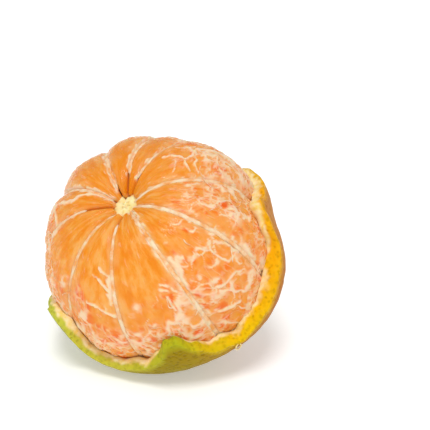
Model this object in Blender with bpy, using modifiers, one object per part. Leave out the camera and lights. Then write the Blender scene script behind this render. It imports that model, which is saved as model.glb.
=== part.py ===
"""A half-peeled mandarin: ten segments round a column of pith, standing out of the peel
that is left on the lower half. It leans back on a small flat spot under the peel.

Lengths are in metres and +Z is up. Every piece is shaped in the fruit's own frame, with
its pole (the peeled end) on +Z, and one empty then leans the fruit over. Places round the
fruit are clock angles: clockwise from the top, as seen from the peeled end. Places from
the pole to the far end are polar angles.
"""

import math

import bmesh
import bpy
from mathutils import Vector, noise

MM = 0.001

# How the fruit lies
POLE_RISE = math.radians(49)
POLE_TURN = math.radians(30)
FLAT_DEPTH = 1.3 * MM

# The ball of flesh: a squarish dome above its widest ring with a dimple at the pole, and a
# rounder and shallower bowl below it that swells towards the far end
FLESH_RADIUS = 33.2 * MM
DOME_HEIGHT = 31.3 * MM
DOME_SQUARENESS = 2.3
BOWL_HEIGHT = 22.6 * MM
BOWL_SQUARENESS = 2.0
DIMPLE_DEPTH = 4.6 * MM
DIMPLE_WIDTH = math.radians(15)
FAR_END_RISE = 3.2 * MM
FAR_END_WIDTH = math.radians(38)

# Where the fruit is not round: clock angle and half width in degrees, and how far the flesh
# and the peel stand out there
LOBES = (
    (57, 15, -2.2 * MM, -2.5 * MM),
    (101, 28, 0.7 * MM, 2.3 * MM),
    (214, 20, -0.2 * MM, -0.5 * MM),
)
FLESH_COLUMN = 2
PEEL_COLUMN = 3

# Segments: the clock angle where each begins, and how far it swells over the ball
SEGMENTS = (
    (52, 0.2 * MM),
    (90, 0.2 * MM),
    (126, 0.5 * MM),
    (166, 0.3 * MM),
    (201, 0.2 * MM),
    (242, -0.1 * MM),
    (276, 0.8 * MM),
    (315, 0.7 * MM),
    (344, -0.4 * MM),
    (368, 0.2 * MM),
)
SWELL_END = math.radians(110)
SEGMENT_GAP = 0.3 * MM
EDGE_ROUND_INNER = 1.0 * MM
EDGE_ROUND_OUTER = 1.3 * MM
EDGE_ROUND_REACH = 18 * MM
CROWN = 0.7 * MM
SEGMENT_TIP = math.radians(7)
SEGMENT_SIDES = 20
SEGMENT_RINGS = 22
SECTION_FAN = 0.8
CORNER_PULL = math.radians(15)
HALVINGS = 32

# The column of pith up the middle, with a star-shaped head in the dimple
CORE_RADIUS = 1.6 * MM
CORE_CLEARANCE = 0.35 * MM
CORE_HEAD_RADIUS = 2.4 * MM
CORE_HEAD_HEIGHT = 5.2 * MM
CORE_HEAD_PROUD = 0.6 * MM
CORE_FOOT_LIFT = 1.6 * MM
CORE_BLUNTNESS = 8
CORE_ARM = 0.16
CORE_ARMS = 5
CORE_SIDES = 20
CORE_RINGS = 14

# The peel, whose wall takes up most of the room where it stands off the flesh
PEEL_THICKNESS = 2.1 * MM
PEEL_THICKEST = 4.0 * MM
WALL_SHARE = 0.8
PEEL_GAP = 0.8 * MM
PEEL_FLARE = 0.3 * MM
PEEL_FLARE_REACH = math.radians(24)
PEEL_SIDES = 72
PEEL_RINGS = 14
PEEL_UNEVEN = 0.3 * MM
PEEL_UNEVEN_PITCH = 1.7
SCAR_DEPTH = 0.8 * MM
SCAR_WIDTH = math.radians(5)

# The torn edge of the peel: (clock angle, polar angle), in degrees
TORN_EDGE = (
    (8, 98),
    (36, 89),
    (50, 79),
    (62, 71),
    (71, 76),
    (78, 85),
    (90, 88),
    (104, 93),
    (118, 97),
    (130, 93),
    (137, 83),
    (143, 74),
    (149, 74),
    (157, 85),
    (163, 91),
    (180, 92),
    (193, 88),
    (202, 74),
    (213, 73),
    (224, 84),
    (240, 93),
    (266, 96),
    (290, 92),
    (318, 98),
    (344, 94),
)
TEAR_SIZE = math.radians(1.3)
TEAR_PITCH = 9.0


def clear_scene():
    """Remove whatever the file opened with."""
    for obj in list(bpy.data.objects):
        bpy.data.objects.remove(obj, do_unlink=True)


def direction(clock, polar):
    """Unit vector at a clock angle and a polar angle, in radians."""
    across = math.sin(polar)
    return Vector((math.sin(clock) * across, math.cos(clock) * across, math.cos(polar)))


def flesh_reach(polar):
    """Distance from the fruit's centre to the ball of flesh."""
    upper = polar < math.pi / 2
    height, power = (DOME_HEIGHT, DOME_SQUARENESS) if upper else (BOWL_HEIGHT, BOWL_SQUARENESS)
    across = abs(math.sin(polar)) / FLESH_RADIUS
    along = abs(math.cos(polar)) / height
    ball = (across**power + along**power) ** (-1 / power)
    dimple = DIMPLE_DEPTH * math.exp(-((polar / DIMPLE_WIDTH) ** 2))
    far_end = FAR_END_RISE * math.exp(-(((math.pi - polar) / FAR_END_WIDTH) ** 2))
    return ball - dimple + far_end


def lobe_height(clock, polar, column):
    """How far the lobes raise the flesh or the peel at a place."""
    raised = 0.0
    for lobe in LOBES:
        turn = math.degrees(math.remainder(clock - math.radians(lobe[0]), 2 * math.pi))
        raised += lobe[column] * math.exp(-((turn / lobe[1]) ** 2))
    return raised * math.sin(polar) ** 2


def polar_of(point):
    return math.atan2(math.hypot(point.x, point.y), point.z)


def cosine_blend(low, high, share):
    return low + (high - low) * (1 - math.cos(math.pi * share)) / 2


def torn_edge(clock):
    """Polar angle of the peel's edge at a clock angle, in radians."""
    turn = math.degrees(clock) % 360
    points = [(TORN_EDGE[-1][0] - 360, TORN_EDGE[-1][1]), *TORN_EDGE]
    points.append((TORN_EDGE[0][0] + 360, TORN_EDGE[0][1]))
    for (start, low), (end, high) in zip(points, points[1:]):
        if start <= turn <= end:
            edge = cosine_blend(low, high, (turn - start) / (end - start))
            break
    tear = noise.noise(direction(clock, math.pi / 2) * TEAR_PITCH)
    return math.radians(edge) + TEAR_SIZE * tear


def segment_depth(point, start, end, swell):
    """How far a point is outside a segment: negative inside it, zero on its skin."""
    spread = math.hypot(point.x, point.y)
    clock = math.atan2(point.x, point.y)
    middle = (start + end) / 2
    turn = (clock - middle + math.pi) % (2 * math.pi) - math.pi
    share = min(1.0, abs(turn) / ((end - start) / 2))
    polar = polar_of(point)
    skin = flesh_reach(polar) + lobe_height(clock, polar, FLESH_COLUMN)
    skin += swell * math.sin(math.pi * min(1.0, polar / SWELL_END))
    skin -= CROWN * share**2 * math.sin(polar)
    half_gap = SEGMENT_GAP / 2
    outside = (
        point.length - skin,
        half_gap - spread * math.sin((end - start) / 2 - turn),
        half_gap - spread * math.sin((end - start) / 2 + turn),
        CORE_RADIUS + CORE_CLEARANCE - spread,
    )
    grow = min(1.0, spread / EDGE_ROUND_REACH)
    edge = EDGE_ROUND_INNER + (EDGE_ROUND_OUTER - EDGE_ROUND_INNER) * grow
    return math.hypot(*(max(0.0, amount + edge) for amount in outside)) - edge


def surface_along(centre, heading, depth_of):
    """Point where a ray from inside a shape leaves it, found by halving."""
    near, far = 0.0, 2 * FLESH_RADIUS
    for _ in range(HALVINGS):
        middle = (near + far) / 2
        if depth_of(centre + heading * middle) < 0:
            near = middle
        else:
            far = middle
    return centre + heading * near


def material(name, colour, roughness):
    made = bpy.data.materials.new(name)
    made.use_nodes = True
    shader = made.node_tree.nodes["Principled BSDF"]
    shader.inputs["Base Color"].default_value = (*colour, 1)
    shader.inputs["Roughness"].default_value = roughness
    shader.inputs["Metallic"].default_value = 0
    return made


def finish(name, mesh_data, surface, collection, fruit):
    """Turn a bmesh into a smooth-shaded object that hangs on the fruit's empty."""
    mesh = bpy.data.meshes.new(name)
    mesh_data.to_mesh(mesh)
    mesh_data.free()
    mesh.shade_smooth()
    mesh.materials.append(surface)
    obj = bpy.data.objects.new(name, mesh)
    collection.objects.link(obj)
    obj.parent = fruit
    return obj


def section_of(middle, half_angle, polar):
    """Centre of a segment's cross section at a polar angle, and its half sizes as vectors."""
    inner = direction(middle, math.pi / 2) * (CORE_RADIUS + SEGMENT_GAP)
    inner.z = SECTION_FAN * BOWL_HEIGHT * math.cos(polar)
    outer = direction(middle, polar) * flesh_reach(polar)
    centre = (inner + outer) / 2
    spread = math.hypot(centre.x, centre.y) * math.sin(half_angle)
    sideways = direction(middle - math.pi / 2, math.pi / 2) * spread
    return centre, (outer - inner) / 2, sideways


def make_segment(name, start, end, swell, surface, collection, fruit):
    """A wedge of flesh with rounded edges: a sphere whose rings become its cross sections."""
    middle, half_angle = (start + end) / 2, (end - start) / 2

    def depth_of(point):
        return segment_depth(point, start, end, swell)

    wedge = bmesh.new()
    bmesh.ops.create_uvsphere(wedge, u_segments=SEGMENT_SIDES, v_segments=SEGMENT_RINGS, radius=1)
    for vertex in wedge.verts:
        share = polar_of(vertex.co) / math.pi
        polar = SEGMENT_TIP + share * (math.pi - 2 * SEGMENT_TIP)
        round_section = math.atan2(vertex.co.y, vertex.co.x)
        round_section -= CORNER_PULL * math.sin(2 * round_section)
        centre, outward, sideways = section_of(middle, half_angle, polar)
        heading = outward * math.cos(round_section) + sideways * math.sin(round_section)
        if share < 0.001 or share > 0.999:
            centre, outward, _ = section_of(middle, half_angle, math.pi / 2)
            heading = direction(middle, polar) * flesh_reach(polar) - centre
        vertex.co = surface_along(centre, heading.normalized(), depth_of)
    return finish(name, wedge, surface, collection, fruit)


def make_segments(surface, collection, fruit):
    starts = [math.radians(clock) for clock, _ in SEGMENTS]
    ends = [*starts[1:], starts[0] + 2 * math.pi]
    for number, (start, end, (_, swell)) in enumerate(zip(starts, ends, SEGMENTS), 1):
        make_segment(f"segment_{number:02d}", start, end, swell, surface, collection, fruit)


def make_core(surface, collection, fruit):
    """The column of pith: a sphere drawn out to a thin column, with a star-shaped head."""
    head = flesh_reach(0) + CORE_HEAD_PROUD
    foot = CORE_FOOT_LIFT - flesh_reach(math.pi)
    column = bmesh.new()
    bmesh.ops.create_uvsphere(column, u_segments=CORE_SIDES, v_segments=CORE_RINGS, radius=1)
    for vertex in column.verts:
        clock = math.atan2(vertex.co.x, vertex.co.y)
        height = (head + foot) / 2 + vertex.co.z * (head - foot) / 2
        full = math.sqrt(max(0.0, 1 - vertex.co.z**CORE_BLUNTNESS))
        wide = max(0.0, 1 - (head - height) / CORE_HEAD_HEIGHT)
        star = 1 + CORE_ARM * wide * math.cos(CORE_ARMS * clock)
        radius = (CORE_RADIUS + (CORE_HEAD_RADIUS - CORE_RADIUS) * wide) * star * full
        vertex.co = Vector((math.sin(clock) * radius, math.cos(clock) * radius, height))
    return finish("pith_core", column, surface, collection, fruit)


def peel_reach(clock, polar):
    """Distance from the fruit's centre to the peel's outer skin."""
    past_edge = (polar - torn_edge(clock)) / PEEL_FLARE_REACH
    flare = PEEL_FLARE * max(0.0, 1 - past_edge) ** 2
    uneven = PEEL_UNEVEN * noise.noise(direction(clock, polar) * PEEL_UNEVEN_PITCH)
    scar = SCAR_DEPTH * math.exp(-(((math.pi - polar) / SCAR_WIDTH) ** 2))
    swell = flare + lobe_height(clock, polar, PEEL_COLUMN) + uneven
    return flesh_reach(polar) + PEEL_GAP + PEEL_THICKNESS + swell - scar


def wall_thickness(clock, polar):
    stands_off = lobe_height(clock, polar, PEEL_COLUMN) - lobe_height(clock, polar, FLESH_COLUMN)
    return PEEL_THICKNESS + WALL_SHARE * max(0.0, stands_off)


def make_peel(surface, collection, fruit):
    """The cup of peel: the lower rows of a sphere, drawn up to the torn edge and given a wall."""
    cup = bmesh.new()
    rows = PEEL_RINGS + 1
    bmesh.ops.create_uvsphere(cup, u_segments=PEEL_SIDES, v_segments=rows, radius=1)
    first_row = math.pi / rows
    bmesh.ops.delete(cup, geom=[v for v in cup.verts if v.co.z > 0.9999], context="VERTS")
    for vertex in cup.verts:
        clock = math.atan2(vertex.co.x, vertex.co.y)
        share = (polar_of(vertex.co) - first_row) / (math.pi - first_row)
        edge = torn_edge(clock)
        polar = edge + max(0.0, share) * (math.pi - edge)
        vertex.co = direction(clock, polar) * peel_reach(clock, polar)
    peel = finish("peel", cup, surface, collection, fruit)
    thickness = peel.vertex_groups.new(name="wall_thickness")
    for vertex in peel.data.vertices:
        clock = math.atan2(vertex.co.x, vertex.co.y)
        share = wall_thickness(clock, polar_of(vertex.co)) / PEEL_THICKEST
        thickness.add([vertex.index], share, "REPLACE")
    wall = peel.modifiers.new("wall", "SOLIDIFY")
    wall.thickness = PEEL_THICKEST
    wall.vertex_group = thickness.name
    wall.offset = -1
    return peel


def lowest_point(obj, placed):
    return min((placed @ vertex.co for vertex in obj.data.vertices), key=lambda co: co.z)


def make_flat_spot(peel, low, cutters):
    """Cut the underside of the peel level, where the fruit rests."""
    block = bmesh.new()
    size = 2 * FLESH_RADIUS
    bmesh.ops.create_cube(block, size=size)
    bmesh.ops.translate(block, verts=block.verts, vec=(low.x, low.y, -size / 2))
    mesh = bpy.data.meshes.new("floor_cutter")
    block.to_mesh(mesh)
    block.free()
    cutter = bpy.data.objects.new("floor_cutter", mesh)
    cutters.objects.link(cutter)
    cutter.hide_render = True
    cutter.display_type = "WIRE"
    cut = peel.modifiers.new("flat_spot", "BOOLEAN")
    cut.operation = "DIFFERENCE"
    cut.object = cutter


def main():
    clear_scene()
    collection = bpy.data.collections.new("half_peeled_mandarin")
    cutters = bpy.data.collections.new("cutters")
    bpy.context.scene.collection.children.link(collection)
    bpy.context.scene.collection.children.link(cutters)
    fruit = bpy.data.objects.new("fruit", None)
    collection.objects.link(fruit)
    fruit.rotation_euler = (math.pi / 2 - POLE_RISE, 0, -POLE_TURN)

    flesh = material("mandarin_flesh", (0.95, 0.42, 0.09), 0.35)
    pith = material("pith", (0.93, 0.84, 0.62), 0.7)
    rind = material("mandarin_peel", (0.78, 0.55, 0.04), 0.45)

    make_segments(flesh, collection, fruit)
    make_core(pith, collection, fruit)
    peel = make_peel(rind, collection, fruit)

    leaning = fruit.rotation_euler.to_matrix()
    low = lowest_point(peel, leaning)
    fruit.location = (-low.x, -low.y, -low.z - FLAT_DEPTH)
    make_flat_spot(peel, Vector(), cutters)
    bpy.context.view_layer.update()


main()
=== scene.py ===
"""Looks of a half-peeled mandarin: fine flesh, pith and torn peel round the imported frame.

The file is laid out as a Blender add-on. Every piece is shaped in the fruit's own frame, in
millimetres, with its pole (the peeled end) on +Z, and then leans over to where the frame
stands. Places round the fruit are clock angles: clockwise from the top, as seen from the
peeled end. Places from the pole to the far end are polar angles.
"""

import math
import random

import bmesh
import bpy
import numpy as np
from bpy.props import FloatProperty, FloatVectorProperty, PointerProperty
from bpy.types import Operator, Panel, PropertyGroup
from mathutils import Euler, Matrix, Vector, kdtree, noise


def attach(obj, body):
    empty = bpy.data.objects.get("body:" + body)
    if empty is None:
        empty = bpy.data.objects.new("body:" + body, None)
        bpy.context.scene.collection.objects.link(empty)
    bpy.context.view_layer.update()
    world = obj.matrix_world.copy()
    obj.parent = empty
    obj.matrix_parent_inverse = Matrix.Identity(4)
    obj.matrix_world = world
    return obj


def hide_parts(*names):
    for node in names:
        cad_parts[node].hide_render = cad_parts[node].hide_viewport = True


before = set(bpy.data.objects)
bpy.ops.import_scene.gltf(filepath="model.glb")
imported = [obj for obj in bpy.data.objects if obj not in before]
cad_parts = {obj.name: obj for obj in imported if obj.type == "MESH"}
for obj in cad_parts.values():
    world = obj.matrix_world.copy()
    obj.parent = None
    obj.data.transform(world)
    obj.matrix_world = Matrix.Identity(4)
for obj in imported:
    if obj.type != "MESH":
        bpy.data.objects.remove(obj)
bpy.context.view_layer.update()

bl_info = {
    "name": "Half-Peeled Mandarin",
    "version": (1, 0, 0),
    "blender": (4, 5, 0),
    "location": "3D View > Sidebar > Mandarin",
    "description": "Builds the segments, pith and torn peel of a half-peeled mandarin",
    "category": "Add Mesh",
}

MM = 0.001

# How the fruit lies, and its ball of flesh, in degrees and millimetres, as in the frame
POLE_RISE = 49
POLE_TURN = 30
FLESH_RADIUS = 33.2
DOME_HEIGHT = 31.3
DOME_SQUARENESS = 2.3
BOWL_HEIGHT = 22.6
BOWL_SQUARENESS = 2.0
DIMPLE_DEPTH = 4.6
DIMPLE_WIDTH = 15
FAR_END_RISE = 3.2
FAR_END_WIDTH = 38

# Where the fruit is not round: clock angle, half width, how far flesh and peel stand out
LOBES = ((57, 15, -2.2, -1.8), (101, 28, 0.7, 2.3), (214, 20, -0.2, -0.5))
FLESH_COLUMN = 2
PEEL_COLUMN = 3

# Segments: the clock angle where each begins, and how far it swells over the ball
SEGMENTS = (
    (52, 0.2),
    (90, 0.2),
    (126, 0.5),
    (166, 0.3),
    (201, 0.2),
    (242, -0.1),
    (276, 0.8),
    (315, 0.7),
    (344, -0.4),
    (368, 0.2),
)
SWELL_END = 110
SEGMENT_GAP = 0.3
EDGE_ROUND_INNER = 1.0
EDGE_ROUND_OUTER = 1.3
EDGE_ROUND_REACH = 18
SEGMENT_TIP = 7
SECTION_FAN = 0.8

# How far the skin drops from a segment's middle to its sides, by clock angle
CROWN = ((20, 0.7), (250, 0.9), (276, 2.1), (296, 2.1), (315, 2.1), (332, 1.6), (350, 0.8))

# The column of pith, its star-shaped head, and the collar of membrane round the head
CORE_RADIUS = 1.6
CORE_CLEARANCE = 0.35
CORE_HEAD_RADIUS = 2.4
CORE_HEAD_HEIGHT = 5.2
CORE_HEAD_PROUD = 0.6
CORE_FOOT_LIFT = 1.6
CORE_BLUNTNESS = 8
CORE_ARMS = 5
CORE_ARM = 0.3
COLLAR_RADIUS = 3.8
COLLAR_THICKNESS = 1.4
COLLAR_DEPTH = 0.9
COLLAR_ARM = 0.16
COLLAR_WRINKLE = 0.35

# The peel, and then its torn edge as (clock angle, polar angle)
PEEL_THICKNESS = 2.1
WALL_SHARE = 0.8
PEEL_GAP = 0.8
PEEL_FLARE = 0.3
PEEL_FLARE_REACH = 24
PEEL_UNEVEN = 0.3
PEEL_UNEVEN_PITCH = 1.7
SCAR_DEPTH = 0.8
SCAR_WIDTH = 5
TEAR_SIZE = 1.3
TEAR_PITCH = 9.0
CLING_WIDTH = 7
PEBBLE_HEIGHT = 0.12
PEBBLE_SIZE = 2.0
CRUMBLE_HEIGHT = 0.14
TORN_EDGE = (
    (8, 98),
    (36, 89),
    (50, 79),
    (62, 71),
    (71, 76),
    (78, 85),
    (90, 88),
    (104, 93),
    (118, 97),
    (130, 92.5),
    (137, 85),
    (143, 75.5),
    (147, 76.5),
    (154, 84),
    (162, 90.5),
    (180, 92),
    (193, 88),
    (202, 74),
    (213, 73),
    (224, 84),
    (240, 93),
    (266, 96),
    (290, 92),
    (318, 98),
    (344, 94),
)

# Fine meshes: more points where the flesh and the torn edge show. SHOWN_RINGS of a segment's
# rings are on its first SHOWN_MERIDIAN; the peel's rows go up its inner wall as far as INNER_ROWS,
# over its torn lip as far as LIP_ROWS, and then down the rind.
SEGMENT_SIDES = 160
SEGMENT_RINGS = 190
SKIN_CROWDING = 0.45
SHOWN_RINGS = 0.75
SHOWN_MERIDIAN = 0.56
HALVINGS = 24
PEEL_SIDES = 560
PEEL_ROWS = 174
INNER_ROWS = 0.25
LIP_ROWS = 0.38
CORE_SIDES = 96
CORE_RINGS = 120
COLLAR_SIDES = 72
COLLAR_RINGS = 24

# The radius of the tube that patterns on the skin are unrolled to
GRAIN_RADIUS = 28

# How close the patterns of the pith and the peel are, per millimetre
FIBRES_PER_MM = 3
BLOTCHES_PER_MM = 0.17
GLANDS_PER_MM = 0.9
SPONGE_PER_MM = 0.5

# Over the flesh, by clock angle: the polar angle where the net of pith starts, how hazy the
# film is near the rim, and how amber the flesh is near the pole
NET_START = (
    (0, 36),
    (30, 28),
    (52, 26),
    (90, 20),
    (126, 42),
    (166, 52),
    (201, 46),
    (242, 30),
    (276, 38),
    (315, 48),
)
HAZE = ((20, 0.9), (55, 0.6), (90, 0.35), (120, 0.1), (160, 0.15), (200, 0.4), (250, 0.85), (310, 0.6))
AMBER = ((20, 0.6), (60, 0.1), (120, 0.15), (190, 0.0), (235, 0.1), (262, 0.4), (300, 0.3), (350, 1.0))

# What the parts of a segment that don't show are marked with
HIDDEN_MARKS = {"sac": 1.0, "tone": 0.4, "outer": 0.3, "net": 0.0, "film": 0.3, "amber": 0.0}

# Cords of pith in the grooves: clock and polar angles along each, width, and how deep it lies.
# CORD_WIDTH is the least width that a cord is drawn with.
CORDS = (
    (((56, 5), (53, 12), (52, 22), (52, 34), (52, 48), (52, 76)), 1.0, 0.5),
    (((94, 5), (91, 14), (90, 26), (90, 40), (90, 54), (90, 93)), 0.95, 0.5),
    (((124, 5), (125, 16), (126, 30), (126, 46), (126, 62), (126, 98)), 1.5, 0.45),
    (((166, 14), (166, 24), (166, 40), (166, 50), (166, 62), (166, 96)), 0.6, 0.55),
    (((199, 9), (200, 20), (201, 34), (201, 50), (201, 86)), 0.9, 0.5),
    (((242, 20), (242, 36), (242, 48), (242, 60), (242, 96)), 0.8, 0.5),
    (((274, 8), (276, 18), (276, 30), (276, 44), (276, 96)), 1.5, 0.4),
    (((313, 10), (314, 18), (315, 30), (315, 46), (315, 96)), 1.4, 0.45),
    (((345, 17), (344, 24), (344, 34), (344, 50), (344, 96)), 1.3, 0.4),
    (((6, 15), (7, 20), (8, 28), (8, 44), (8, 96)), 1.0, 0.5),
)
CORD_WIDTH = 1.35
CORD_HEIGHT = 0.4
CORD_LUMPS = 0.25
CORD_SWAY = 0.12

# Strands of pith, as relief and colour on the flesh: clock and polar angles along each, and width
STRANDS = (
    (((268, 14), (270, 19), (265, 24), (260, 30), (261, 38), (263, 47)), 1.1),
    (((240, 24), (239, 28), (241, 34), (238, 39), (234, 46)), 0.8),
    (((261, 45), (249, 40), (240, 41), (234, 45), (228, 49)), 0.9),
    (((20, 30), (25, 36), (33, 37), (31, 42), (26, 46)), 0.8),
    (((29, 33), (36, 32), (41, 29)), 0.45),
    (((32, 38), (37, 36), (45, 37)), 0.5),
    (((30, 43), (35, 43), (39, 40), (46, 41)), 0.6),
    (((28, 50), (34, 48), (38, 50), (44, 47)), 0.6),
    (((33, 56), (38, 53), (48, 54)), 0.7),
    (((16, 40), (22, 44), (20, 50)), 0.5),
    (((24, 49), (26, 56), (27, 63), (35, 66)), 1.6),
    (((176, 36), (173, 38), (168, 41)), 0.6),
    (((181, 40), (176, 41), (172, 44), (168, 47)), 0.7),
    (((168, 40), (169, 45), (168, 52)), 1.5),
    (((184, 53), (179, 54), (174, 56), (170, 58), (167, 60)), 0.7),
    (((122, 42), (122, 46), (123, 50), (125, 57), (127, 63)), 1.5),
    (((136, 49), (132, 51), (131, 54), (129, 57)), 0.6),
    (((136, 55), (136, 59), (136, 63)), 0.6),
    (((112, 66), (108, 68), (103, 68), (100, 69)), 0.7),
    (((87, 59), (92, 60), (92, 65)), 1.2),
    (((87, 67), (89, 71), (89, 78)), 1.4),
    (((119, 77), (114, 80), (109, 82)), 1.0),
    (((127, 77), (127, 84), (126, 90)), 1.1),
    (((97, 49), (102, 53), (101, 56), (100, 62)), 0.6),
)

# How cords, threads and the curl are drawn. Each lies on the lower of the skins STEP_ASIDE to its
# left and right, so that it stays whole where two segments swell differently.
STRAND_SIDES = 10
STRAND_STEP = 0.5
STRAND_SWAY = 0.6
STEP_ASIDE = math.radians(1.5)
STRAND_BLUNTNESS = 6
STRAND_LUMPS = 0.5
THREADS = 90
THREAD_SEED = 11
THREAD_SIDES = 6
THREAD_PROUD = 0.02

# A small curl of torn fibre that stands on the rind
CURL_PLACE = (122, 99.5)
CURL_RADIUS = 0.9
CURL_THICKNESS = 0.45
CURL_POINTS = 40
CURL_SEED = 5

# Colours of the rind by clock angle, from the torn edge and then further down, where they are darker:
# partly the rind's own colour and partly painted shade
RIND_BY_EDGE = (
    (0, "#D8B820"),
    (55, "#F4AC14"),
    (90, "#F0B20C"),
    (118, "#EEC20A"),
    (133, "#D8BA14"),
    (143, "#B2B21E"),
    (153, "#B8B628"),
    (185, "#CDC640"),
    (215, "#C2C645"),
    (250, "#C9C348"),
    (300, "#D4B228"),
)
# Further down the rind is darker: partly its own colour and partly painted shade
RIND_SHADED_BELOW = (
    (0, "#A98A00"),
    (55, "#C87C00"),
    (90, "#C07200"),
    (118, "#A86C00"),
    (133, "#A48208"),
    (143, "#A0860C"),
    (153, "#9A860E"),
    (185, "#A2961A"),
    (215, "#97981E"),
    (250, "#A0941C"),
    (300, "#B4880E"),
)
# How far below the torn edge the second, darker colour is reached, and the one colour that they all
# turn to under the fruit, between two polar angles. Both darkenings are partly the rind's own colour
# and partly painted shade on the fruit's lower side.
RIND_BLEND = 3
RIND_SHADED_UNDER = "#A48C10"
UNDER_START = 125
UNDER_END = 160

# How much of the torn edge's width is cream, by clock angle: the rest is cut rind. The border
# between them is CREAM_BLUR wide to each side.
CREAM_BLUR = 0.14
CREAM = (
    (0, 0.6),
    (60, 0.75),
    (74, 0.5),
    (84, 0.22),
    (96, 0.32),
    (118, 0.38),
    (131, 0.3),
    (139, 0.08),
    (149, 0.1),
    (157, 0.55),
    (200, 0.5),
    (240, 0.55),
    (300, 0.6),
)

# The camera, at the photograph's viewing angle: where the fruit's centre is in its frame
CAMERA_ELEVATION = 20
CAMERA_LENS = 90
SENSOR_WIDTH = 36
FRAME_PIXELS = 430
MM_PER_PIXEL = 0.29
CENTRE_PIXEL = (162, 253)

# The studio: a floor 12 m across that glows a little, a white sky, and a soft light like a window
FLOOR_REACH = 6
FLOOR_GREY = 0.82
FLOOR_GLOW = 0.35
SKY_STRENGTH = 0.5
WINDOW_STRENGTH = 1.7
WINDOW_ANGLE = 20
WINDOW_HEADING = (0.02, 0.5, -0.95)

# Sockets of a Mix node that mixes colours, and of one that mixes numbers
MIX_SHARE, MIX_FROM, MIX_TO, MIXED = 0, 6, 7, 2
BLEND_FROM, BLEND_TO, BLENDED = 2, 3, 0


def linear(code):
    """Linear colour of an sRGB hex code."""
    parts = [int(code[place : place + 2], 16) / 255 for place in (1, 3, 5)]
    return tuple(p / 12.92 if p <= 0.04045 else ((p + 0.055) / 1.055) ** 2.4 for p in parts)


def ease(low, high, value):
    """0 at low, 1 at high, and smooth between them."""
    share = np.clip((value - low) / (high - low), 0, 1)
    return share * share * (3 - 2 * share)


def round_value(points, clock):
    """Value at each clock angle, blended between (clock angle, value) pairs in degrees."""
    turn = np.degrees(clock) % 360
    places = np.array([points[-1][0] - 360, *(place for place, _ in points), points[0][0] + 360])
    values = np.array([points[-1][1], *(value for _, value in points), points[0][1]], float)
    left = np.clip(np.searchsorted(places, turn, side="right") - 1, 0, len(places) - 2)
    share = (turn - places[left]) / (places[left + 1] - places[left])
    return values[left] + (values[left + 1] - values[left]) * (1 - np.cos(math.pi * share)) / 2


def round_colour(table, clock):
    """Linear colour at each clock angle, blended between (clock angle, hex code) pairs."""
    stops = [(place, linear(code)) for place, code in table]
    parts = [[(place, colour[part]) for place, colour in stops] for part in range(3)]
    return np.stack([round_value(part, clock) for part in parts], 1)


def direction(clock, polar):
    """Unit vectors at clock and polar angles, in radians."""
    across = np.sin(polar)
    return np.stack((np.sin(clock) * across, np.cos(clock) * across, np.cos(polar) + 0 * clock), -1)


def angles_of(points):
    """Clock angle, polar angle and distance from the fruit's centre of each point."""
    spread = np.hypot(points[:, 0], points[:, 1])
    clock = np.arctan2(points[:, 0], points[:, 1])
    return clock, np.arctan2(spread, points[:, 2]), np.linalg.norm(points, axis=1)


def noise_at(points, pitch, shift=0.0):
    """Perlin noise at each point: pitch is the size of its lumps, in the points' unit."""
    return np.array([noise.noise(place) for place in (points / pitch + shift).tolist()])


def ball_reach(polar):
    """Distance from the fruit's centre to the ball of flesh."""
    upper = polar < math.pi / 2
    height = np.where(upper, DOME_HEIGHT, BOWL_HEIGHT)
    power = np.where(upper, DOME_SQUARENESS, BOWL_SQUARENESS)
    across = np.abs(np.sin(polar)) / FLESH_RADIUS
    along = np.abs(np.cos(polar)) / height
    ball = (across**power + along**power) ** (-1 / power)
    dimple = DIMPLE_DEPTH * np.exp(-((np.degrees(polar) / DIMPLE_WIDTH) ** 2))
    far_end = FAR_END_RISE * np.exp(-((np.degrees(math.pi - polar) / FAR_END_WIDTH) ** 2))
    return ball - dimple + far_end


def lobe_height(clock, polar, column):
    """How far the lobes raise the flesh or the peel."""
    raised = 0.0
    for lobe in LOBES:
        turn = (np.degrees(clock) - lobe[0] + 180) % 360 - 180
        raised = raised + lobe[column] * np.exp(-((turn / lobe[1]) ** 2))
    return raised * np.sin(polar) ** 2


def segment_skin(clock, polar, share, swell):
    """Distance to a segment's skin: share is 0 at its middle and 1 at its sides."""
    skin = ball_reach(polar) + lobe_height(clock, polar, FLESH_COLUMN)
    skin = skin + swell * np.sin(math.pi * np.minimum(1, np.degrees(polar) / SWELL_END))
    return skin - round_value(CROWN, clock) * share**2 * np.sin(polar)


def skin_at(clock, polar):
    """Distance to the skin of whichever segment is at each place."""
    starts = np.array([start for start, _ in SEGMENTS])
    swells = np.array([swell for _, swell in SEGMENTS])
    ends = np.append(starts[1:], starts[0] + 360)
    turn = (np.degrees(clock) - starts[0]) % 360 + starts[0]
    index = np.clip(np.searchsorted(starts, turn, side="right") - 1, 0, len(starts) - 1)
    half = (ends[index] - starts[index]) / 2
    share = np.abs(turn - starts[index] - half) / half
    return segment_skin(clock, polar, share, swells[index])


def ball_of_rings(sides, rings):
    """A bmesh sphere of radius 1, and its points."""
    ball = bmesh.new()
    bmesh.ops.create_uvsphere(ball, u_segments=sides, v_segments=rings, radius=1)
    return ball, np.array([vertex.co[:] for vertex in ball.verts])


def move_points(vertices, points):
    for vertex, place in zip(vertices, points.tolist()):
        vertex.co = place


def fruit_place():
    """How the fruit's own frame leans, and its centre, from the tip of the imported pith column."""
    lean = Euler((math.radians(90 - POLE_RISE), 0, -math.radians(POLE_TURN))).to_matrix()
    pole = lean @ Vector((0, 0, 1))
    column = [vertex.co.copy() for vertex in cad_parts["pith_core"].data.vertices]
    tip = max(column, key=lambda place: place.dot(pole))
    head = (float(ball_reach(np.float64(0))) + CORE_HEAD_PROUD) * MM
    return lean, tip - pole * head


LEAN, CENTRE = fruit_place()


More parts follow.
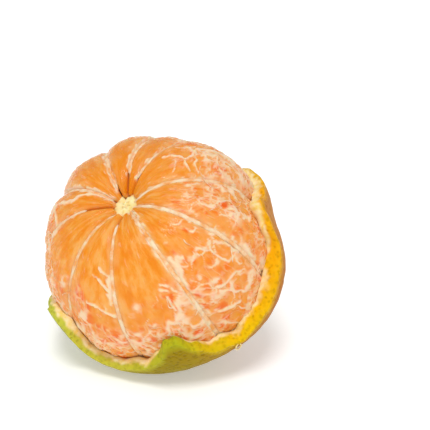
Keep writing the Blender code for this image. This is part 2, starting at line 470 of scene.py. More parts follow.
def finish_piece(name, shape, surface, stands_for=(), marks=None):
    """Lean a bmesh into place, store what its material reads, and let it ride the frame."""
    mesh = bpy.data.meshes.new(name)
    shape.to_mesh(mesh)
    shape.free()
    points = np.empty(3 * len(mesh.vertices), np.float32)
    mesh.vertices.foreach_get("co", points)
    world = points.reshape(-1, 3) * MM @ np.array(LEAN).T + np.array(CENTRE)
    # The peel settles on the floor as a flat spot, and nothing goes below it
    world[:, 2] = np.maximum(world[:, 2], 0)
    mesh.vertices.foreach_set("co", world.astype(np.float32).ravel())
    mesh.update()
    mesh.shade_smooth()
    for label, values in (marks or {}).items():
        kind, field = ("FLOAT", "value") if values.ndim == 1 else ("FLOAT_VECTOR", "vector")
        store = mesh.attributes.new(label, kind, "POINT")
        store.data.foreach_set(field, values.astype(np.float32).ravel())
    mesh.materials.append(surface)
    piece = bpy.data.objects.new(name, mesh)
    bpy.context.scene.collection.objects.link(piece)
    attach(piece, "root")
    if stands_for:
        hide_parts(*stands_for)
    return piece


def add_node(tree, kind, sockets=None, stops=None, **settings):
    """Add a shader node with its settings, its sockets' values or sources, and its colour stops."""
    made = tree.nodes.new(kind)
    for name, value in settings.items():
        setattr(made, name, value)
    for socket, value in (sockets or {}).items():
        if isinstance(value, bpy.types.NodeSocket):
            tree.links.new(value, made.inputs[socket])
        else:
            made.inputs[socket].default_value = value
    if stops:
        band = made.color_ramp
        while len(band.elements) < len(stops):
            band.elements.new(0.5)
        for element, (place, colour) in zip(band.elements, stops):
            element.position = place
            element.color = (*colour, 1)
    return made


def new_material(name):
    """A material with an empty node tree, and the tree."""
    surface = bpy.data.materials.new(name)
    surface.use_nodes = True
    surface.node_tree.nodes.clear()
    return surface, surface.node_tree


def flesh_material(look):
    """Mandarin flesh: juice sacs under a thin moist membrane, paler where pith clings to it."""
    surface, tree = new_material("mandarin_flesh")
    sac, tone, outer, net, film, amber = (
        add_node(tree, "ShaderNodeAttribute", attribute_name=label).outputs["Fac"]
        for label in ("sac", "tone", "outer", "net", "film", "amber")
    )
    grain = add_node(tree, "ShaderNodeAttribute", attribute_name="grain").outputs["Vector"]

    # Cloudy flesh under the membrane, in lumps 3 mm wide and 6 mm long
    stretched = add_node(tree, "ShaderNodeMapping", {"Vector": grain, "Scale": (0.33, 0.33, 0.18)})
    cloud = add_node(
        tree,
        "ShaderNodeTexNoise",
        {"Vector": stretched.outputs["Vector"], "Scale": 1.0, "Detail": 4.0, "Roughness": 0.55},
    )
    smooth = add_node(
        tree,
        "ShaderNodeValToRGB",
        {"Fac": cloud.outputs["Fac"]},
        stops=((0.38, look.flesh_deep), (0.5, look.flesh_orange), (0.62, look.flesh_light)),
    )
    warm = add_node(
        tree,
        "ShaderNodeMix",
        {MIX_SHARE: amber, MIX_FROM: smooth.outputs["Color"], MIX_TO: (*look.flesh_amber, 1)},
        data_type="RGBA",
    )

    # Sacs near the rim: red-orange hearts between paler walls
    heart = add_node(
        tree,
        "ShaderNodeValToRGB",
        {"Fac": tone},
        stops=((0.15, look.flesh_orange), (0.5, look.sac_orange), (0.95, look.sac_red)),
    )
    walled = add_node(
        tree,
        "ShaderNodeMix",
        {MIX_SHARE: sac, MIX_FROM: (*look.membrane, 1), MIX_TO: heart.outputs["Color"]},
        data_type="RGBA",
    )
    flesh = add_node(
        tree,
        "ShaderNodeMix",
        {MIX_SHARE: outer, MIX_FROM: warm.outputs[MIXED], MIX_TO: walled.outputs[MIXED]},
        data_type="RGBA",
    )
    filmed = add_node(
        tree,
        "ShaderNodeMix",
        {MIX_SHARE: film, MIX_FROM: flesh.outputs[MIXED], MIX_TO: (*look.film, 1)},
        data_type="RGBA",
    )
    pithy = add_node(
        tree,
        "ShaderNodeMix",
        {MIX_SHARE: net, MIX_FROM: filmed.outputs[MIXED], MIX_TO: (*look.net, 1)},
        data_type="RGBA",
    )

    # Fine grain of 0.6 mm in the membrane, as bump
    fine = add_node(
        tree, "ShaderNodeTexNoise", {"Vector": grain, "Scale": 1.7, "Detail": 3.0, "Roughness": 0.6}
    )
    bump = add_node(
        tree, "ShaderNodeBump", {"Height": fine.outputs["Fac"], "Strength": 0.5, "Distance": 0.0004}
    )
    rough = add_node(tree, "ShaderNodeMapRange", {"Value": net, "To Min": 0.24, "To Max": 0.6})
    shader = add_node(
        tree,
        "ShaderNodeBsdfPrincipled",
        {
            "Base Color": pithy.outputs[MIXED],
            "Roughness": rough.outputs["Result"],
            "Normal": bump.outputs["Normal"],
            "IOR": 1.36,
            "Specular IOR Level": 0.25,
            "Coat Weight": 0.15,
            "Coat Roughness": 0.1,
            "Subsurface Weight": 0.35,
            "Subsurface Radius": (1.0, 0.4, 0.12),
            "Subsurface Scale": 0.002,
        },
    )
    add_node(tree, "ShaderNodeOutputMaterial", {"Surface": shader.outputs["BSDF"]})
    return surface


def pith_material(name, light, shade, patch=1.5):
    """Pith: dry, spongy white fibre, darker in patches whose size is in millimetres."""
    surface, tree = new_material(name)
    place = add_node(tree, "ShaderNodeTexCoord").outputs["Object"]
    patches = add_node(
        tree,
        "ShaderNodeTexNoise",
        {"Vector": place, "Scale": 1 / (patch * MM), "Detail": 3.0, "Roughness": 0.6},
    )
    colour = add_node(
        tree,
        "ShaderNodeValToRGB",
        {"Fac": patches.outputs["Fac"]},
        stops=((0.35, shade), (0.6, light)),
    )
    # A fibre grain of 0.3 mm, as bump
    fibres = add_node(
        tree, "ShaderNodeTexNoise", {"Vector": place, "Scale": FIBRES_PER_MM / MM, "Detail": 2.0}
    )
    bump = add_node(
        tree, "ShaderNodeBump", {"Height": fibres.outputs["Fac"], "Strength": 0.3, "Distance": 0.0002}
    )
    shader = add_node(
        tree,
        "ShaderNodeBsdfPrincipled",
        {
            "Base Color": colour.outputs["Color"],
            "Roughness": 0.7,
            "Normal": bump.outputs["Normal"],
            "Subsurface Weight": 0.3,
            "Subsurface Radius": (1.0, 0.7, 0.4),
            "Subsurface Scale": 0.001,
        },
    )
    add_node(tree, "ShaderNodeOutputMaterial", {"Surface": shader.outputs["BSDF"]})
    return surface


def peel_material(look):
    """Mandarin peel: waxy rind pitted by oil glands outside, spongy cream albedo inside."""
    surface, tree = new_material("mandarin_peel")
    place = add_node(tree, "ShaderNodeTexCoord").outputs["Object"]
    # The rind's colour at the torn edge, its darker colour further down, and how far it has turned to that
    # darker colour, which is partly its own colour and partly painted shade
    shade_share, cut = (
        add_node(tree, "ShaderNodeAttribute", attribute_name=label).outputs["Fac"]
        for label in ("shade_share", "cut")
    )
    by_edge, shaded_deeper = (
        add_node(tree, "ShaderNodeAttribute", attribute_name=label).outputs["Color"]
        for label in ("rind_by_edge", "rind_shaded_below")
    )
    # Ripening is blotchy, in patches of about 6 mm
    blotch = add_node(
        tree,
        "ShaderNodeTexNoise",
        {"Vector": place, "Scale": BLOTCHES_PER_MM / MM, "Detail": 3.0, "Roughness": 0.6},
    )
    uneven = add_node(
        tree, "ShaderNodeMapRange", {"Value": blotch.outputs["Fac"], "To Min": -0.4, "To Max": 0.4}
    )
    reach = add_node(
        tree,
        "ShaderNodeMath",
        {0: shade_share, 1: uneven.outputs["Result"]},
        operation="ADD",
        use_clamp=True,
    )
    rind = add_node(
        tree,
        "ShaderNodeMix",
        {MIX_SHARE: reach.outputs["Value"], MIX_FROM: by_edge, MIX_TO: shaded_deeper},
        data_type="RGBA",
    )
    # Oil glands, 1.1 mm apart: small pits, a little darker than the wax between them
    glands = add_node(
        tree,
        "ShaderNodeTexVoronoi",
        {"Vector": place, "Scale": GLANDS_PER_MM / MM},
        feature="SMOOTH_F1",
    )
    gland = add_node(
        tree,
        "ShaderNodeMapRange",
        {"Value": glands.outputs["Distance"], "From Min": 0.1, "From Max": 0.45},
    )
    shade = add_node(
        tree, "ShaderNodeMapRange", {"Value": gland.outputs["Result"], "To Min": 0.8, "To Max": 1.0}
    )
    dotted = add_node(
        tree,
        "ShaderNodeVectorMath",
        {0: rind.outputs[MIXED], "Scale": shade.outputs["Result"]},
        operation="SCALE",
    )
    # The albedo: cream, yellower in patches of 2 mm
    spongy = add_node(
        tree,
        "ShaderNodeTexNoise",
        {"Vector": place, "Scale": SPONGE_PER_MM / MM, "Detail": 3.0, "Roughness": 0.6},
    )
    albedo = add_node(
        tree,
        "ShaderNodeValToRGB",
        {"Fac": spongy.outputs["Fac"]},
        stops=((0.35, look.albedo_yellow), (0.6, look.albedo_cream)),
    )
    colour = add_node(
        tree,
        "ShaderNodeMix",
        {MIX_SHARE: cut, MIX_FROM: dotted.outputs["Vector"], MIX_TO: albedo.outputs["Color"]},
        data_type="RGBA",
    )
    pits = add_node(
        tree,
        "ShaderNodeMix",
        {MIX_SHARE: cut, BLEND_FROM: gland.outputs["Result"], BLEND_TO: spongy.outputs["Fac"]},
        data_type="FLOAT",
    )
    bump = add_node(
        tree, "ShaderNodeBump", {"Height": pits.outputs[BLENDED], "Strength": 0.6, "Distance": 0.0004}
    )
    rough = add_node(tree, "ShaderNodeMapRange", {"Value": cut, "To Min": 0.45, "To Max": 0.8})
    shader = add_node(
        tree,
        "ShaderNodeBsdfPrincipled",
        {
            "Base Color": colour.outputs[MIXED],
            "Roughness": rough.outputs["Result"],
            "Normal": bump.outputs["Normal"],
            "IOR": 1.4,
            "Specular IOR Level": 0.06,
            "Subsurface Weight": 0.12,
            "Subsurface Radius": (1.0, 0.6, 0.1),
            "Subsurface Scale": 0.001,
        },
    )
    add_node(tree, "ShaderNodeOutputMaterial", {"Surface": shader.outputs["BSDF"]})
    return surface


def grain_places(clock, polar):
    """Places on the skin unrolled to a tube, so that patterns run along the meridians."""
    return np.stack(
        (GRAIN_RADIUS * np.sin(clock), GRAIN_RADIUS * np.cos(clock), FLESH_RADIUS * polar), 1
    )


def cells_at(places, cell, long, shift):
    """Distance to the border between uneven long cells, in mm, and each cell's own number."""
    gaps, tones = [], []
    for place in (places / (cell, cell, cell * long) + shift).tolist():
        near, hearts = noise.voronoi(place)
        gaps.append((near[1] - near[0]) * cell / 2)
        tones.append(noise.cell(hearts[0] * 57.3))
    return np.array(gaps), np.array(tones)


def pith_lines():
    """A tree of points along every cord and strand of pith, and half the width at each."""
    places, halves = [], []
    for seed, (route, width, *_) in enumerate((*CORDS, *STRANDS)):
        line, _ = strand_line(route, 0, seed)
        places.extend(line.tolist())
        halves.extend([width / 2] * len(line))
    tree = kdtree.KDTree(len(places))
    for index, place in enumerate(places):
        tree.insert(place, index)
    tree.balance()
    return tree, np.array(halves)


def gap_to_pith(points, pith):
    """Distance from each point to the nearest line of pith, as a share of its half width."""
    tree, halves = pith
    found = [tree.find(place) for place in points.tolist()]
    return np.array([gap / halves[index] for _, index, gap in found])


def flesh_marks(clock, polar, beside, to_pith, sizes):
    """What shows on the skin: sacs, net of pith, film and amber flesh, and the relief they make."""
    places = grain_places(clock, polar)
    start = np.radians(round_value(NET_START, clock))
    haze = round_value(HAZE, clock)
    broad = noise_at(places, 8, 3.1)
    middling = noise_at(places, 4, 7.7)
    small = noise_at(places, 2.1, 19.3)
    fine = noise_at(places, 1.0, 11.7)
    sway = np.stack((middling + 0.4 * small, small, 0.7 * small - 0.7 * middling), 1)
    zone = ease(-0.1, 0.45, polar - start + 0.25 * broad + 0.15 * middling)
    rim = ease(18, 2, np.degrees(torn_edge(clock) - polar) + 12 * middling)

    # The juice sacs, and how red each is
    sac_gap, tone = cells_at(places + 0.9 * sway, sizes.sac_size / MM, 1.5, 5.3)
    sac = ease(0.0, 0.5, sac_gap)
    tone = np.clip(0.62 + 0.3 * tone + 0.7 * broad + 0.3 * small - 0.2 * haze, 0, 1)

    # The net of pith: wide cells, small cells, fine fibres, lumps, and the cords and strands
    wide_gap, _ = cells_at(places + 1.7 * sway, sizes.net_cell / MM, 1.3, 17.9)
    thick = np.maximum(0.07, 0.26 + 0.4 * small + 0.2 * rim * middling)
    wide = ease(1.2, 0.3, wide_gap / thick) * ease(-0.15, 0.25, middling + zone - 0.72)
    small_gap, _ = cells_at(places + 1.3 * sway, sizes.net_cell / MM / 2, 1.3, 29.3)
    narrow = ease(1.2, 0.3, 1.6 * small_gap / thick) * ease(-0.1, 0.3, broad + zone + 0.3 * haze - 0.95)
    fibre = np.abs(noise_at((places + 0.5 * sway) * (1, 1, 0.25), 1.6, 61.0))
    fibres = ease(0.09, 0.0, fibre) * ease(-0.05, 0.3, small + 0.5 * zone - 0.15)
    lump = ease(0.1, 0.45, 0.8 * middling + 0.8 * small + 0.4 * fine + 0.1 * rim + 0.25 * haze - 0.38)
    strand = ease(1.4, 0.5, to_pith + 0.9 * small + 0.5 * fine)
    net = np.maximum.reduce((0.85 * wide, 0.6 * narrow, 0.3 * fibres, 0.8 * zone * lump, 0.9 * strand))

    # The film near the rim and along the grooves, the amber flesh, and the relief in millimetres
    side = ease(2.2, 0.2, beside + 2.0 * middling)
    film = (0.05 + 0.4 * haze) * zone * ease(-0.2, 0.45, broad + 0.8 * middling)
    film = np.clip(np.maximum(film, 0.3 * side * ease(8, 30, np.degrees(polar))), 0, 1)
    amber = round_value(AMBER, clock) * ease(50, 20, np.degrees(polar) + 18 * broad)
    outer = ease(0.0, 0.7, zone + 0.35 * small)
    relief = 0.24 * (sac - 0.6) * (0.25 + 0.75 * outer) + 0.16 * net + 0.14 * strand
    relief = relief + 0.25 * broad + 0.16 * middling + 0.06 * small
    marks = {"sac": sac, "tone": tone, "outer": outer, "net": net, "film": film, "amber": amber}
    return marks, relief


def section_of(middle, half_angle, polar):
    """Centres of a segment's cross sections at polar angles, and their half sizes as vectors."""
    flat = np.full_like(polar, math.pi / 2)
    inner = direction(middle + 0 * polar, flat) * (CORE_RADIUS + SEGMENT_GAP)
    inner[:, 2] = SECTION_FAN * BOWL_HEIGHT * np.cos(polar)
    outer = direction(middle + 0 * polar, polar) * ball_reach(polar)[:, None]
    centre = (inner + outer) / 2
    spread = np.hypot(centre[:, 0], centre[:, 1]) * math.sin(half_angle)
    sideways = direction(middle - math.pi / 2 + 0 * polar, flat) * spread[:, None]
    return centre, (outer - inner) / 2, sideways


def across_segment(clock, start, end):
    """Turn from a segment's middle, its half angle, and the turn as a share of that, up to 1."""
    half = (end - start) / 2
    turn = (clock - (start + end) / 2 + math.pi) % (2 * math.pi) - math.pi
    return turn, half, np.minimum(1, np.abs(turn) / half)


def outside_segment(points, start, end, swell):
    """How far points are outside a segment: negative inside it, zero on its skin."""
    clock, polar, reach = angles_of(points)
    spread = np.hypot(points[:, 0], points[:, 1])
    turn, half, share = across_segment(clock, start, end)
    edge = EDGE_ROUND_INNER + (EDGE_ROUND_OUTER - EDGE_ROUND_INNER) * np.minimum(
        1, spread / EDGE_ROUND_REACH
    )
    outside = (
        reach - segment_skin(clock, polar, share, swell),
        SEGMENT_GAP / 2 - spread * np.sin(half - turn),
        SEGMENT_GAP / 2 - spread * np.sin(half + turn),
        CORE_RADIUS + CORE_CLEARANCE - spread,
    )
    return np.sqrt(sum(np.maximum(0, amount + edge) ** 2 for amount in outside)) - edge


def segment_points(sphere, start, end, swell):
    """Points of a wedge of flesh with rounded edges, from the points of a sphere."""
    middle, half = (start + end) / 2, (end - start) / 2
    ring = np.arccos(np.clip(sphere[:, 2], -1, 1)) / math.pi
    share = np.interp(ring, (0, SHOWN_RINGS, 1), (0, SHOWN_MERIDIAN, 1))
    tip = math.radians(SEGMENT_TIP)
    polar = tip + share * (math.pi - 2 * tip)
    round_section = np.arctan2(sphere[:, 1], sphere[:, 0])
    round_section = round_section - SKIN_CROWDING * np.sin(round_section)
    centre, outward, sideways = section_of(middle, half, polar)
    heading = outward * np.cos(round_section)[:, None] + sideways * np.sin(round_section)[:, None]
    at_tip = (ring < 0.001) | (ring > 0.999)
    centre[at_tip], _, _ = section_of(middle, half, np.full(at_tip.sum(), math.pi / 2))
    tips = direction(middle + 0 * polar, polar) * ball_reach(polar)[:, None]
    heading[at_tip] = tips[at_tip] - centre[at_tip]
    heading /= np.linalg.norm(heading, axis=1)[:, None]
    near, far = np.zeros(len(polar)), np.full(len(polar), 2 * FLESH_RADIUS)
    for _ in range(HALVINGS):
        halfway = (near + far) / 2
        inside = outside_segment(centre + heading * halfway[:, None], start, end, swell) < 0
        near, far = np.where(inside, halfway, near), np.where(inside, far, halfway)
    return centre + heading * near[:, None]


def make_segment(number, start, end, swell, pith, sizes, surface):
    """Shape one segment, mark and raise the skin that shows, and put it in its node's place."""
    ball, sphere = ball_of_rings(SEGMENT_SIDES, SEGMENT_RINGS)
    points = segment_points(sphere, start, end, swell)
    clock, polar, reach = angles_of(points)
    _, half, share = across_segment(clock, start, end)
    beside = (1 - share) * half * np.hypot(points[:, 0], points[:, 1])
    sunk = segment_skin(clock, polar, share, swell) - reach
    shown = ease(1.8, 0.5, sunk) * ease(2.1, 1.9, polar)
    seen = shown > 0
    to_pith = gap_to_pith(points[seen], pith)
    marks, relief = flesh_marks(clock[seen], polar[seen], beside[seen], to_pith, sizes)
    stored = {"grain": grain_places(clock, polar)}
    for label, values in marks.items():
        stored[label] = np.full(len(clock), HIDDEN_MARKS[label])
        stored[label][seen] += (values - HIDDEN_MARKS[label]) * shown[seen]
    points[seen] *= (1 + relief * shown[seen] / np.maximum(reach[seen], 1))[:, None]
    move_points(ball.verts, points)
    node = f"segment_{number:02d}"
    finish_piece(f"flesh_{number:02d}", ball, surface, (node,), stored)


def draw_out(shape, line, outward, width, height, seed, sides=STRAND_SIDES, lumpy=STRAND_LUMPS):
    """Draw a sphere out into a tapered, lumpy strand along a line of points."""
    travelled = np.append(0, np.cumsum(np.linalg.norm(np.diff(line, axis=0), axis=1)))
    step = min(STRAND_STEP, travelled[-1] / 40)
    rings = max(8, int(travelled[-1] / step))
    made = bmesh.ops.create_uvsphere(shape, u_segments=sides, v_segments=rings, radius=1)["verts"]
    sphere = np.array([vertex.co[:] for vertex in made])
    along = np.arccos(np.clip(sphere[:, 2], -1, 1)) / math.pi
    around = np.arctan2(sphere[:, 1], sphere[:, 0])

    def on(values, place):
        return np.stack([np.interp(place, travelled, column) for column in values.T], 1)

    at = along * travelled[-1]
    up = on(outward, at)
    ahead = on(line, np.minimum(at + step, travelled[-1])) - on(line, np.maximum(at - step, 0))
    side = np.cross(ahead, up)
    side /= np.linalg.norm(side, axis=1)[:, None]
    lumps = noise_at(np.stack((at, np.full_like(at, 3.7 * seed), 0 * at), 1), 1.5, 23.0)
    full = np.sqrt(np.maximum(0, 1 - np.abs(2 * along - 1) ** STRAND_BLUNTNESS))
    size = full * (1 + lumpy * lumps)
    across = side * (np.cos(around) * size * width / 2)[:, None]
    proud = up * (np.sin(around) * size * height / 2)[:, None]
    move_points(made, on(line, at) + across + proud)


def strand_line(route, sink, seed, sway=STRAND_SWAY):
    """Points and outward directions along a route of (clock, polar) corners over the skin."""
    places = np.radians(np.array(route, float))
    for _ in range(2):
        left, right = places[:-1], places[1:]
        cut = np.stack((0.75 * left + 0.25 * right, 0.25 * left + 0.75 * right), 1).reshape(-1, 2)
        places = np.concatenate((places[:1], cut, places[-1:]))
    rough = direction(places[:, 0], places[:, 1]) * FLESH_RADIUS
    travelled = np.append(0, np.cumsum(np.linalg.norm(np.diff(rough, axis=0), axis=1)))
    at = np.linspace(0, travelled[-1], max(8, int(travelled[-1] / 0.3)))
    clock, polar = np.interp(at, travelled, places[:, 0]), np.interp(at, travelled, places[:, 1])
    seeded = np.stack((at, np.full_like(at, 3.7 * seed), 0 * at), 1)
    clock = clock + sway * noise_at(seeded, 2.4) / (FLESH_RADIUS * np.maximum(0.2, np.sin(polar)))
    polar = polar + 0.5 * sway * noise_at(seeded, 2.4, 5.1) / FLESH_RADIUS
    outward = direction(clock, polar)
    skin = np.minimum(skin_at(clock - STEP_ASIDE, polar), skin_at(clock + STEP_ASIDE, polar))
    lift = skin - sink + 0.12 * noise_at(seeded, 2.0, 9.1)
    return outward * lift[:, None], outward


def scattered_routes(count):
    """Short bent routes for loose threads, scattered between the net's start and the rim."""
    pick = random.Random(THREAD_SEED)
    routes = []
    while len(routes) < count:
        clock = pick.uniform(0, 360)
        start = float(round_value(NET_START, np.radians(clock))) + 8
        rim = float(np.degrees(torn_edge(np.radians(np.array([clock])))[0]))
        polar = start + (rim - 3 - start) * pick.random() ** 0.5
        heading = pick.gauss(0, 0.9)
        reach = pick.uniform(2.0, 5.5) * 180 / math.pi / FLESH_RADIUS
        route = [(clock, polar)]
        for _ in range(3):
            heading += pick.gauss(0, 0.45)
            clock += reach / 3 * math.sin(heading) / max(0.4, math.sin(math.radians(polar)))
            polar -= reach / 3 * math.cos(heading)
            route.append((clock, polar))
        routes.append((route, pick.uniform(0.16, 0.32)))
    return routes


def torn_edge(clock):
    """Polar angle of the peel's torn edge, in radians."""
    tear = noise_at(direction(clock, np.full_like(clock, math.pi / 2)), 1 / TEAR_PITCH)
    return np.radians(round_value(TORN_EDGE, clock) + TEAR_SIZE * tear)


def peel_skin(clock, polar, edge):
    """Distance from the fruit's centre to the peel's outer skin."""
    past_edge = np.degrees(polar - edge) / PEEL_FLARE_REACH
    flare = PEEL_FLARE * np.maximum(0, 1 - np.maximum(0, past_edge)) ** 2
    uneven = PEEL_UNEVEN * noise_at(direction(clock, polar), 1 / PEEL_UNEVEN_PITCH)
    scar = SCAR_DEPTH * np.exp(-((np.degrees(math.pi - polar) / SCAR_WIDTH) ** 2))
    swell = flare + lobe_height(clock, polar, PEEL_COLUMN) + uneven
    return ball_reach(polar) + PEEL_GAP + PEEL_THICKNESS + swell - scar


def peel_points(sphere):
    """Points of the cup of peel: a sphere whose upper half is pushed down to be the inner wall."""
    row = np.arccos(np.clip(sphere[:, 2], -1, 1)) / math.pi
    clock = np.arctan2(sphere[:, 0], sphere[:, 1])
    edge = torn_edge(clock)
    ring = direction(clock, np.full_like(clock, math.pi / 2))
    ragged = noise_at(ring, 0.13, 2.2) + 0.6 * noise_at(ring, 0.045, 7.4)
    outer_edge = edge + np.radians(0.6 * noise_at(ring, 0.07, 4.4))
    even_edge = edge - np.radians(1.0)
    inner_edge = even_edge - np.radians(2.0 * ragged)
    down = np.clip((row - LIP_ROWS) / (1 - LIP_ROWS), 0, 1) ** 1.3
    up = np.clip((INNER_ROWS - row) / INNER_ROWS, 0, 1)
    over = np.clip((LIP_ROWS - row) / (LIP_ROWS - INNER_ROWS), 0, 1)
    torn = np.sin(math.pi * over)
    crumble = noise_at(direction(clock, math.pi / 2 + 0.1 * over) * 30, 1.1, 1.3)
    bulge = noise_at(direction(clock, math.pi / 2 + 0.1 * over) * 30, 3.6, 8.3)
    lip = outer_edge + (even_edge - outer_edge) * over + (inner_edge - even_edge) * over**4
    lip = lip + np.radians(0.5 * crumble + 1.4 * bulge - 0.9) * torn
    polar = np.where(row > LIP_ROWS, outer_edge + down * (math.pi - outer_edge), lip)
    polar = np.where(row < INNER_ROWS, inner_edge + up * (math.pi - inner_edge), polar)
    stands_off = lobe_height(clock, polar, PEEL_COLUMN) - lobe_height(clock, polar, FLESH_COLUMN)
    wall = PEEL_THICKNESS + WALL_SHARE * np.maximum(0, stands_off)
    pebbled = noise_at(direction(clock, polar) * FLESH_RADIUS, PEBBLE_SIZE, 3.3) * (over == 0)
    reach = peel_skin(clock, polar, edge) - wall * over
    reach = reach + PEBBLE_HEIGHT * pebbled + CRUMBLE_HEIGHT * crumble * torn
    clinging = over**2 * np.exp(-((np.degrees(polar - inner_edge) / CLING_WIDTH) ** 2))
    reach = reach + (np.minimum(reach, skin_at(clock, polar)) - reach) * clinging

    # Where the cream begins on the lip, kept off the rind itself
    cream = 1 - round_value(CREAM, clock) + 0.3 * bulge + 0.2 * ragged + 0.2 * crumble
    cream = np.maximum(cream, CREAM_BLUR + 0.01)
    # Rind colours that darken down the fruit and under it: partly the rind's own colour and partly painted
    # shade
    by_edge = round_colour(RIND_BY_EDGE, clock)
    shaded_deeper = round_colour(RIND_SHADED_BELOW, clock)
    shade_beneath = np.array(linear(RIND_SHADED_UNDER))
    under = ease(UNDER_START, UNDER_END, np.degrees(polar))[:, None]
    shade_share = np.clip((polar - outer_edge) * FLESH_RADIUS / RIND_BLEND, 0, 1)
    marks = {
        "rind_by_edge": by_edge + (shade_beneath - by_edge) * under,
        "rind_shaded_below": shaded_deeper + (shade_beneath - shaded_deeper) * under,
        "shade_share": np.where(row > LIP_ROWS, shade_share, 0),
        "cut": np.where(row < INNER_ROWS, 1, ease(cream - CREAM_BLUR, cream + CREAM_BLUR, over)),
    }
    return direction(clock, polar) * reach[:, None], marks


def core_points(sphere):
    """Points of the column of pith: a sphere drawn out to a column with a star-shaped head."""
    head = float(ball_reach(np.float64(0))) + CORE_HEAD_PROUD
    foot = CORE_FOOT_LIFT - float(ball_reach(np.float64(math.pi)))
    clock = np.arctan2(sphere[:, 0], sphere[:, 1])
    height = (head + foot) / 2 + sphere[:, 2] * (head - foot) / 2
    full = np.sqrt(np.maximum(0, 1 - sphere[:, 2] ** CORE_BLUNTNESS))
    wide = np.maximum(0, 1 - (head - height) / CORE_HEAD_HEIGHT)
    star = 1 + CORE_ARM * wide * np.cos(CORE_ARMS * clock)
    radius = (CORE_RADIUS + (CORE_HEAD_RADIUS - CORE_RADIUS) * wide) * star * full
    place = np.stack((np.sin(clock) * radius, np.cos(clock) * radius, height), 1)
    lumps = noise_at(place, 0.8, 6.1)
    return place + np.stack((0 * lumps, 0 * lumps, 0.35 * lumps * wide), 1)


def collar_points(sphere):
    """Points of the membrane round the column's head: a thin, wrinkled round cushion."""
    clock = np.arctan2(sphere[:, 0], sphere[:, 1])
    spread = np.hypot(sphere[:, 0], sphere[:, 1])
    wrinkle = noise_at(direction(clock, np.full_like(clock, math.pi / 2)), 0.35, 2.9)
    star = 1 + COLLAR_ARM * np.cos(CORE_ARMS * clock) + 0.5 * wrinkle
    radius = COLLAR_RADIUS * spread * star
    middle = float(ball_reach(np.float64(0))) - COLLAR_DEPTH
    height = middle + COLLAR_THICKNESS / 2 * sphere[:, 2] + COLLAR_WRINKLE * wrinkle * spread
    return np.stack((np.sin(clock) * radius, np.cos(clock) * radius, height), 1)


class MandarinLook(PropertyGroup):
    """Sizes and colours of the mandarin's finish."""

    sac_size: FloatProperty(
        name="Juice Sac", description="Width of a juice sac", default=2.2 * MM, min=1 * MM, unit="LENGTH"
    )
    net_cell: FloatProperty(
        name="Net Cell", description="Width of a cell in the net of pith", default=4.2 * MM, unit="LENGTH"
    )
    flesh_orange: FloatVectorProperty(
        name="Flesh", description="Smooth flesh", default=linear("#F59C30"), subtype="COLOR"
    )
    flesh_deep: FloatVectorProperty(
        name="Deep Flesh", description="Flesh seen deep", default=linear("#F18C10"), subtype="COLOR"
    )
    flesh_light: FloatVectorProperty(
        name="Light Flesh", description="Cloudier flesh", default=linear("#F8B058"), subtype="COLOR"
    )
    flesh_amber: FloatVectorProperty(
        name="Amber Flesh", description="Clear flesh by the pole", default=linear("#EE8A00"), subtype="COLOR"
    )
    sac_orange: FloatVectorProperty(
        name="Sac", description="Most juice sacs", default=linear("#F5801C"), subtype="COLOR"
    )
    sac_red: FloatVectorProperty(
        name="Red Sac", description="The reddest sacs", default=linear("#F0600C"), subtype="COLOR"
    )
    membrane: FloatVectorProperty(
        name="Membrane", description="Walls between sacs", default=linear("#F8A350"), subtype="COLOR"
    )
    film: FloatVectorProperty(
        name="Film", description="Film that clings near the rim", default=linear("#FAC48E"), subtype="COLOR"
    )
    net: FloatVectorProperty(
        name="Net", description="Net of pith on the flesh", default=linear("#FDE0BC"), subtype="COLOR"
    )
    pith_cream: FloatVectorProperty(
        name="Pith", description="Pith at the core", default=linear("#FEF0B4"), subtype="COLOR"
    )
    pith_shade: FloatVectorProperty(
        name="Thick Pith", description="Yellower pith", default=linear("#F6D880"), subtype="COLOR"
    )
    albedo_cream: FloatVectorProperty(
        name="Albedo", description="Inside of the peel", default=linear("#F8E6B4"), subtype="COLOR"
    )
    albedo_yellow: FloatVectorProperty(
        name="Yellow Albedo", description="Albedo near the rind", default=linear("#F0D070"), subtype="COLOR"
    )


class MANDARIN_OT_segments(Operator):
    """Build the ten segments of flesh"""

    bl_idname = "mandarin.segments"
    bl_label = "Segments"

    def execute(self, context):
        look = context.scene.mandarin_look
        surface = flesh_material(look)
        starts = [math.radians(clock) for clock, _ in SEGMENTS]
        ends = [*starts[1:], starts[0] + 2 * math.pi]
        pith = pith_lines()
        for number, (start, end, (_, swell)) in enumerate(zip(starts, ends, SEGMENTS), 1):
            make_segment(number, start, end, swell, pith, look, surface)
        return {"FINISHED"}


class MANDARIN_OT_pith(Operator):
    """Build the column of pith, the cords in the grooves and the threads on the flesh"""

    bl_idname = "mandarin.pith"
    bl_label = "Pith"

    def execute(self, context):
        look = context.scene.mandarin_look
        surface = pith_material("pith", look.pith_cream, look.pith_shade)
        column, sphere = ball_of_rings(CORE_SIDES, CORE_RINGS)
        move_points(column.verts, core_points(sphere))
        finish_piece("pith_column", column, surface, ("pith_core",))
        collar, sphere = ball_of_rings(COLLAR_SIDES, COLLAR_RINGS)
        move_points(collar.verts, collar_points(sphere))
        finish_piece("pith_collar", collar, surface)

        fibre = pith_material("pith_fibre", look.net, look.membrane, 3.5)
        cords = bmesh.new()
        for seed, (route, width, sink) in enumerate(CORDS):
            line, outward = strand_line(route, sink, seed, CORD_SWAY)
            widest = max(width, CORD_WIDTH)
            draw_out(cords, line, outward, widest, CORD_HEIGHT, seed, lumpy=CORD_LUMPS)
        finish_piece("pith_cords", cords, fibre)
        threads = bmesh.new()
        for seed, (route, width) in enumerate(scattered_routes(THREADS)):
            line, outward = strand_line(route, -THREAD_PROUD, seed)
            draw_out(threads, line, outward, width, width, seed, sides=THREAD_SIDES)
        finish_piece("pith_threads", threads, fibre)
        return {"FINISHED"}


